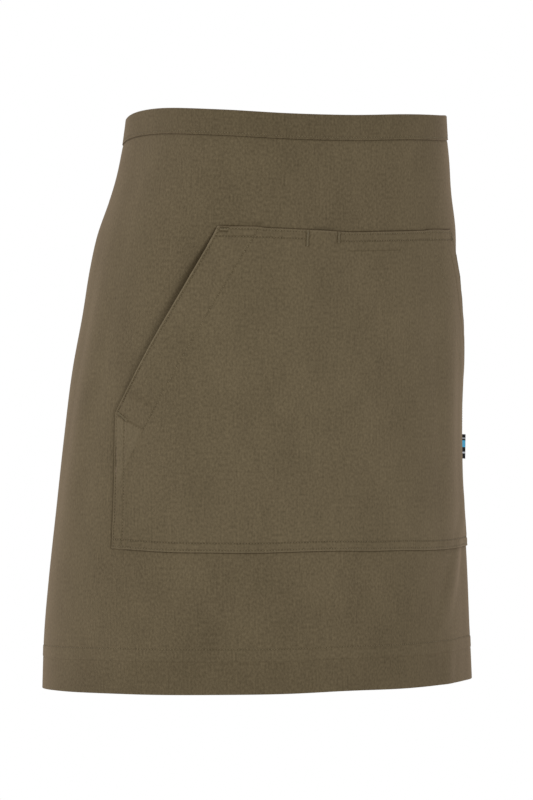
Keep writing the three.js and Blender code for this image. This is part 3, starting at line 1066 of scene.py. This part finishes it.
def make_tie_end(name, side, node):
    """One of the two ends that hang from the knot."""
    stations = stops(0, (TIE_END_LENGTH - 10, 3), (TIE_END_LENGTH, 0.7))
    hang = hanging(side)

    def place(along, along_face, round_edge, through):
        gather = end_gather(along)
        thick = end_thickness(along) * (1 - 0.7 * smooth(along, TIE_END_LENGTH - 0.8, TIE_END_LENGTH))
        width = TIE_HEIGHT - 8.5 * gather
        across = along_face * (width - thick) / 2 + round_edge * thick / 2
        pleats = 0.55 * gather * np.cos(3 * np.pi * along_face + 1)
        return hang(across, along, through * thick / 2 + pleats), flat_uv(across, along)

    return finish_piece(name, strap_mesh(name, stations, place), node)


skirt = make_skirt()
band = make_waistband()
pocket = make_pocket()
label = make_label()
right_tie = make_tie("right_tie", -1, "tie_right")
left_tie = make_tie("left_tie", 1, "tie_left")
knot = make_knot()
right_tie_end = make_tie_end("right_tie_end", -1, "tie_end_right")
left_tie_end = make_tie_end("left_tie_end", 1, "tie_end_left")


# Stitching
def stitch_shape():
    """Points and faces of one stitch of unit size, a round-ended thread lying along X."""
    thread = bmesh.new()
    bmesh.ops.create_uvsphere(thread, u_segments=6, v_segments=4, radius=0.5)
    bmesh.ops.rotate(thread, verts=thread.verts, matrix=Matrix.Rotation(math.pi / 2, 3, "Y"))
    points = np.array([v.co[:] for v in thread.verts])
    thread.verts.index_update()
    faces = [[v.index for v in f.verts] for f in thread.faces]
    thread.free()
    return points, faces


STITCH_POINTS, STITCH_FACES = stitch_shape()
STITCH_REACH = 0.4


def lay_stitches(shape, place, across, drop, out, heading):
    """Points of a stitch laid on the cloth at each place, along its heading on the flat cloth."""
    ahead_across, ahead_drop = heading * STITCH_REACH
    middle = place(across, drop, out)
    ahead = place(across + ahead_across, drop + ahead_drop, out)
    behind = place(across - ahead_across, drop - ahead_drop, out)
    aside = place(across - ahead_drop, drop + ahead_across, out)
    along = ahead - behind
    along /= np.linalg.norm(along, axis=1)[:, None]
    up = np.cross(aside - middle, along)
    up /= np.linalg.norm(up, axis=1)[:, None]
    frames = np.stack((along, np.cross(along, up), up), axis=1) * MM
    return middle[:, None, :] + np.einsum("vk,nkx->nvx", shape, frames)


def sew_along(lines, surface, place, pitch=2.6, length=1.7, width=0.6, across_line=False):
    """Points of the stitches along rows, or across them in a tack. Surface says how far out the cloth
    lies, and place says where that is."""
    shape = STITCH_POINTS * (length, width, width)
    points = []
    for line in lines:
        total, run, fall = row_run(line)
        count = max(2, int(total / pitch))
        at = (np.arange(count) + 0.5) * total / count
        across = line[0] + run * at
        drop = line[1] + fall * at
        heading = np.array((-fall, run) if across_line else (run, fall))
        points.append(lay_stitches(shape, place, across, drop, surface(across, drop), heading))
    return join(*points)


TACK_THREAD = {"pitch": 0.7, "length": 2.2, "across_line": True}


def stitch_piece(name, lines, surfaces, place=worn, tacks=()):
    """One piece of stitches, along rows and in tacks, on each of the surfaces that they show on."""
    sewn = []
    for surface in surfaces:
        sewn.append(sew_along(lines, surface, place))
        if tacks:
            sewn.append(sew_along(tacks, surface, place, **TACK_THREAD))
    points = join(*sewn).reshape(-1, 3)
    starts = range(0, len(points), len(STITCH_POINTS))
    mesh = bpy.data.meshes.new(name)
    faces = [[start + corner for corner in face] for start in starts for face in STITCH_FACES]
    mesh.from_pydata(points, [], faces)
    mesh.update()
    return finish_piece(name, mesh, material=THREAD)


# How far out the faces lie that the stitches show on
def band_out(across, drop):
    return BAND_OUT + seam_relief(across, drop, BAND_LINES)


def band_inside(across, drop):
    return BAND_IN - seam_relief(across, drop, BAND_LINES)


def hem_inside(across, drop):
    return skirt_out(across, drop) - TURN_GAP


def panel_inside(across, drop):
    return skirt_out(across, drop) - CLOTH


def end_out(across, along):
    return end_thickness(along) / 2


def end_inside(across, along):
    return -end_out(across, along)


TIE_ROW = BAND_HEIGHT / 2 + TIE_HEIGHT / 2 - 2.2
TIE_LINES = both_sides((BAND_HALF + 1, TIE_ROW, TIE_STOP - 18, TIE_ROW, 1.0))
END_EDGE = TIE_HEIGHT / 2 - 2.0
END_HEM = TIE_END_LENGTH - 6
END_LINES = [(END_EDGE, 36, END_EDGE, END_HEM, 1.0), (-END_EDGE, END_HEM, END_EDGE, END_HEM, 1.0)]

skirt_stitches = stitch_piece("skirt_stitches", SKIRT_LINES, (skirt_out, hem_inside))
band_stitches = stitch_piece("band_stitches", BAND_LINES, (band_out, band_inside))
pocket_stitches = stitch_piece("pocket_stitches", POCKET_LINES, (pocket_out,), pocket_worn, TACKS)
seat_stitches = stitch_piece("pocket_seat_stitches", SEAT_LINES, (panel_inside,), pocket_worn, TACKS)
tie_stitches = stitch_piece("tie_stitches", TIE_LINES, (tie_out,))
end_stitches = {
    side: stitch_piece(name, END_LINES, (end_out, end_inside), hanging(side))
    for side, name in ((-1, "right_tie_end_stitches"), (1, "left_tie_end_stitches"))
}

# Floor, light and camera, in metres
FLOOR_DROP = 1.0
FLOOR_RADIUS = 3.6
floor_mesh = bpy.data.meshes.new("floor")
disc = bmesh.new()
bmesh.ops.create_circle(disc, cap_ends=True, segments=96, radius=FLOOR_RADIUS)
bmesh.ops.translate(disc, verts=disc.verts, vec=(0, 0, -FLOOR_DROP))
disc.to_mesh(floor_mesh)
disc.free()
floor_mesh.materials.append(painted_floor())
floor = add_object("floor", floor_mesh)

VIEW_TURN = math.radians(-28.5)
ROOM_LIGHT = 0.515
WHITE = (1, 1, 1, 1)
world = bpy.data.worlds.new("studio")
world.use_nodes = True
tree = world.node_tree
room = tree.nodes["Background"]
set_inputs(tree, room, {"Color": WHITE, "Strength": ROOM_LIGHT})
backdrop = add_node(tree, "Background", {"Color": WHITE, "Strength": 1.0})
seen = add_node(tree, "LightPath", output="Is Camera Ray")
mixed = add_node(tree, "MixShader", {0: seen, 1: room.outputs[0], 2: backdrop})
set_inputs(tree, tree.nodes["World Output"], {"Surface": mixed})
bpy.context.scene.world = world
bpy.context.scene.view_settings.view_transform = "Standard"

# Softboxes: how far to the right of the camera's view, towards the camera and up from the apron's
# middle, then the box's size and its power in watts
SOFTBOXES = {
    "front_softbox": (0.55, 1.1, 0.0, 0.5, 3.7),
    "left_softbox": (-1.3, 1.3, 0.7, 1.0, 6.2),
    "side_softbox": (-1.1, 0.12, 0.04, 0.6, 2.2),
}
APRON_MIDDLE = Vector((0.0, 0.03, -0.24))
TO_RIGHT = np.array((math.cos(VIEW_TURN), math.sin(VIEW_TURN), 0.0))
TO_CAMERA = np.array((math.sin(VIEW_TURN), -math.cos(VIEW_TURN), 0.0))
for name, (right, near, up, size, power) in SOFTBOXES.items():
    box = bpy.data.lights.new(name, "AREA")
    box.size = size
    box.energy = power
    lamp = add_object(name, box)
    offset = Vector(TO_RIGHT * right + TO_CAMERA * near + (0, 0, up))
    lamp.location = APRON_MIDDLE + offset
    lamp.rotation_euler = offset.to_track_quat("Z", "Y").to_euler()

CAMERA_DISTANCE = 4.5
CAMERA_HEIGHT = -0.157
AIM_BACK = 0.036
AIM_DROP = 0.0824
IMAGE_HEIGHT_PIXELS = 800
PIXEL_SIZE = 0.0009
camera_data = bpy.data.cameras.new("camera")
camera_data.sensor_width = 36
camera_data.lens = camera_data.sensor_width * CAMERA_DISTANCE / (PIXEL_SIZE * IMAGE_HEIGHT_PIXELS)
camera = add_object("camera", camera_data)
camera.location = TO_CAMERA * CAMERA_DISTANCE + (0, AIM_BACK, CAMERA_HEIGHT)
camera.rotation_euler = (math.pi / 2 - math.atan(AIM_DROP / CAMERA_DISTANCE), 0, VIEW_TURN)
bpy.context.scene.camera = camera
